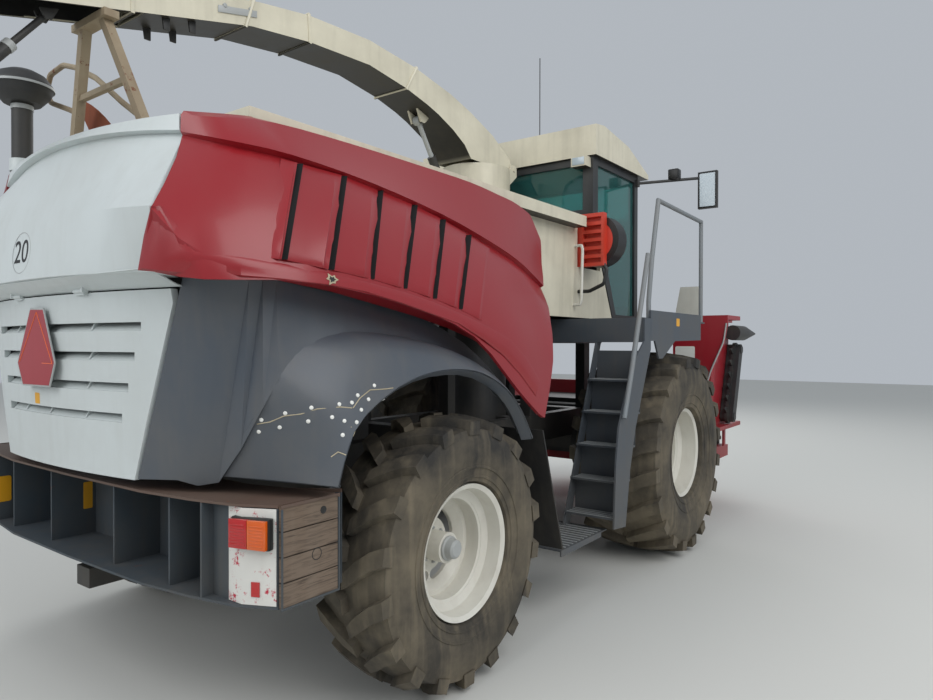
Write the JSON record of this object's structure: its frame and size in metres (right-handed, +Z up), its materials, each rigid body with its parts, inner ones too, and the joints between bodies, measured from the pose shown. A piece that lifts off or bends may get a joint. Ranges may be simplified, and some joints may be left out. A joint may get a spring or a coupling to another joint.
{
  "type": "forage harvester",
  "caption": "Self-propelled forage harvester with a folded chain header, slewing discharge spout, steered rear wheels, opening hood panels and a glazed cab",
  "frame": {"origin": "centre of the whole machine on the ground", "axes": "+X forward, to the header; +Y to the machine's left; +Z up"},
  "size_m": [7.8, 3, 4.12],
  "materials": {
    "frame_paint": "satin",
    "steel": "satin",
    "rim_paint": "satin",
    "tyre": "matte",
    "rubber": "matte",
    "beam_paint": "matte",
    "board_wood": "matte",
    "lamp_lens": "gloss",
    "hood_white": "satin",
    "panel_red": "satin",
    "panel_grey": "satin",
    "cream_paint": "satin",
    "cab_dark": "satin",
    "tinted_glass": "gloss",
    "seat_cloth": "matte",
    "orange_paint": "satin",
    "rod_chrome": "gloss",
    "rest_paint": "matte"
  },
  "bodies": {
    "machine": {"chassis": "frame_paint", "front_axle": "frame_paint", "rear_axle": "frame_paint", "engine": "steel", "rear_beam": "beam_paint", "beam_boards": "board_wood", "tail_lamps": "lamp_lens", "rear_hood": "hood_white", "lower_panels": "panel_grey", "mud_flaps": "rubber", "deck": "cream_paint", "platform": "panel_grey", "ladders": "panel_grey", "handrails": "steel", "cab_shell": "cab_dark", "cab_roof": "cream_paint", "cab_glass": "tinted_glass", "cab_seat": "seat_cloth", "condenser": "orange_paint", "work_lamps": "cream_paint", "mirrors": "frame_paint", "antenna": "frame_paint", "spout_rest": "rest_paint", "intake_stack": "frame_paint"},
    "knuckle_left": {"knuckle_left": "steel"},
    "knuckle_right": {"knuckle_right": "steel"},
    "front_wheel_left": {"front_wheel_left": "rim_paint", "front_tyre_left": "tyre"},
    "front_wheel_right": {"front_wheel_right": "rim_paint", "front_tyre_right": "tyre"},
    "rear_wheel_left": {"rear_wheel_left": "rim_paint", "rear_tyre_left": "tyre"},
    "rear_wheel_right": {"rear_wheel_right": "rim_paint", "rear_tyre_right": "tyre"},
    "grille_door": {"grille_door": "hood_white", "warning_board": "panel_red"},
    "side_panel_left": {"side_panel_left": "panel_red"},
    "side_panel_right": {"side_panel_right": "panel_red"},
    "cab_door": {"cab_door": "cab_dark", "door_glass": "tinted_glass"},
    "condenser_fan": {"condenser_fan": "frame_paint"},
    "turret": {"turret": "cream_paint"},
    "spout": {"spout": "cream_paint"},
    "spout_flap": {"spout_flap": "frame_paint"},
    "lift_barrel": {"lift_barrel": "frame_paint"},
    "lift_rod": {"lift_rod": "rod_chrome"},
    "header": {"feeder": "frame_paint", "header_frame": "panel_red", "centre_chains": "frame_paint"},
    "wing_left": {"wing_left": "panel_red", "wing_chain_left": "frame_paint"},
    "wing_right": {"wing_right": "panel_red", "wing_chain_right": "frame_paint"},
    "header_lift_barrels": {"header_lift_barrels": "frame_paint"},
    "header_lift_rods": {"header_lift_rods": "rod_chrome"}
  },
  "joints": [
    {"name": "steer_left", "type": "hinge", "parent": "machine", "child": "knuckle_left", "pos_m": [-1.9, 0.93, 0.665], "axis": [0, 0, 1], "range_deg": [-30, 30]},
    {"name": "steer_right", "type": "hinge", "parent": "machine", "child": "knuckle_right", "pos_m": [-1.9, -0.93, 0.665], "axis": [0, 0, 1], "range_deg": [-30, 30]},
    {"name": "front_spin_left", "type": "hinge", "parent": "machine", "child": "front_wheel_left", "pos_m": [0.93, 1.1425, 0.805], "axis": [0, 1, 0], "continuous": true},
    {"name": "front_spin_right", "type": "hinge", "parent": "machine", "child": "front_wheel_right", "pos_m": [0.93, -1.1425, 0.805], "axis": [0, 1, 0], "continuous": true},
    {"name": "rear_spin_left", "type": "hinge", "parent": "knuckle_left", "child": "rear_wheel_left", "pos_m": [-1.9, 1.165, 0.665], "axis": [0, 1, 0], "continuous": true},
    {"name": "rear_spin_right", "type": "hinge", "parent": "knuckle_right", "child": "rear_wheel_right", "pos_m": [-1.9, -1.165, 0.665], "axis": [0, 1, 0], "continuous": true},
    {"name": "grille_open", "type": "hinge", "parent": "machine", "child": "grille_door", "pos_m": [-3.232, 0, 1.893], "axis": [0, 1, 0], "range_deg": [0, 70]},
    {"name": "side_open_left", "type": "hinge", "parent": "machine", "child": "side_panel_left", "pos_m": [-1.9, 0.958, 2.592], "axis": [1, 0, 0], "range_deg": [0, 60]},
    {"name": "side_open_right", "type": "hinge", "parent": "machine", "child": "side_panel_right", "pos_m": [-1.9, -0.958, 2.592], "axis": [-1, 0, 0], "range_deg": [0, 60]},
    {"name": "door_open", "type": "hinge", "parent": "machine", "child": "cab_door", "pos_m": [0.505, 0.862, 2.8], "axis": [0, 0, 1], "range_deg": [0, 80]},
    {"name": "fan_spin", "type": "hinge", "parent": "machine", "child": "condenser_fan", "pos_m": [0.3, -0.96, 2.47], "axis": [1, 0, 0], "continuous": true},
    {"name": "spout_slew", "type": "hinge", "parent": "machine", "child": "turret", "pos_m": [0.03, 0, 2.64], "axis": [0, 0, 1], "range_deg": [-100, 100]},
    {"name": "spout_lift", "type": "hinge", "parent": "turret", "child": "spout", "pos_m": [0.312, 0, 3.13], "axis": [0, 1, 0], "range_deg": [0, 20]},
    {"name": "flap_tilt", "type": "hinge", "parent": "spout", "child": "spout_flap", "pos_m": [-3.542, 0, 3.182], "axis": [0, -1, 0], "range_deg": [0, 60]},
    {"name": "lift_ram_swing", "type": "hinge", "parent": "turret", "child": "lift_barrel", "pos_m": [-0.31, 0, 2.74], "axis": [0, 1, 0], "range_deg": [-1, 20]},
    {"name": "lift_ram_stroke", "type": "slide", "parent": "lift_barrel", "child": "lift_rod", "axis": [-0.558, 0, 0.8298], "range_m": [-0.005, 0.26]},
    {"name": "header_lift", "type": "hinge", "parent": "machine", "child": "header", "pos_m": [1.26, 0, 1.08], "axis": [0, 1, 0], "range_deg": [-3, 7]},
    {"name": "header_ram_swing", "type": "hinge", "parent": "machine", "child": "header_lift_barrels", "pos_m": [1.1, 0, 0.84], "axis": [0, 1, 0], "range_deg": [-4, 8]},
    {"name": "header_ram_stroke", "type": "slide", "parent": "header_lift_barrels", "child": "header_lift_rods", "axis": [0.9778, 0, -0.2095], "range_m": [-0.04, 0.02]},
    {"name": "wing_fold_left", "type": "hinge", "parent": "header", "child": "wing_left", "pos_m": [2.6, 1.12, 0.78], "axis": [-1, 0, 0], "range_deg": [0, 90]},
    {"name": "wing_fold_right", "type": "hinge", "parent": "header", "child": "wing_right", "pos_m": [2.6, -1.12, 0.78], "axis": [1, 0, 0], "range_deg": [0, 90]}
  ],
  "couplings": [
    {"joint": "steer_right", "follows": "steer_left", "ratio": 1},
    {"joint": "lift_ram_swing", "follows": "spout_lift", "ratio": 0.9104},
    {"joint": "lift_ram_stroke", "follows": "spout_lift", "m_per_rad": 0.7245},
    {"joint": "header_ram_swing", "follows": "header_lift", "ratio": 0.8636},
    {"joint": "header_ram_stroke", "follows": "header_lift", "m_per_rad": -0.2691}
  ]
}
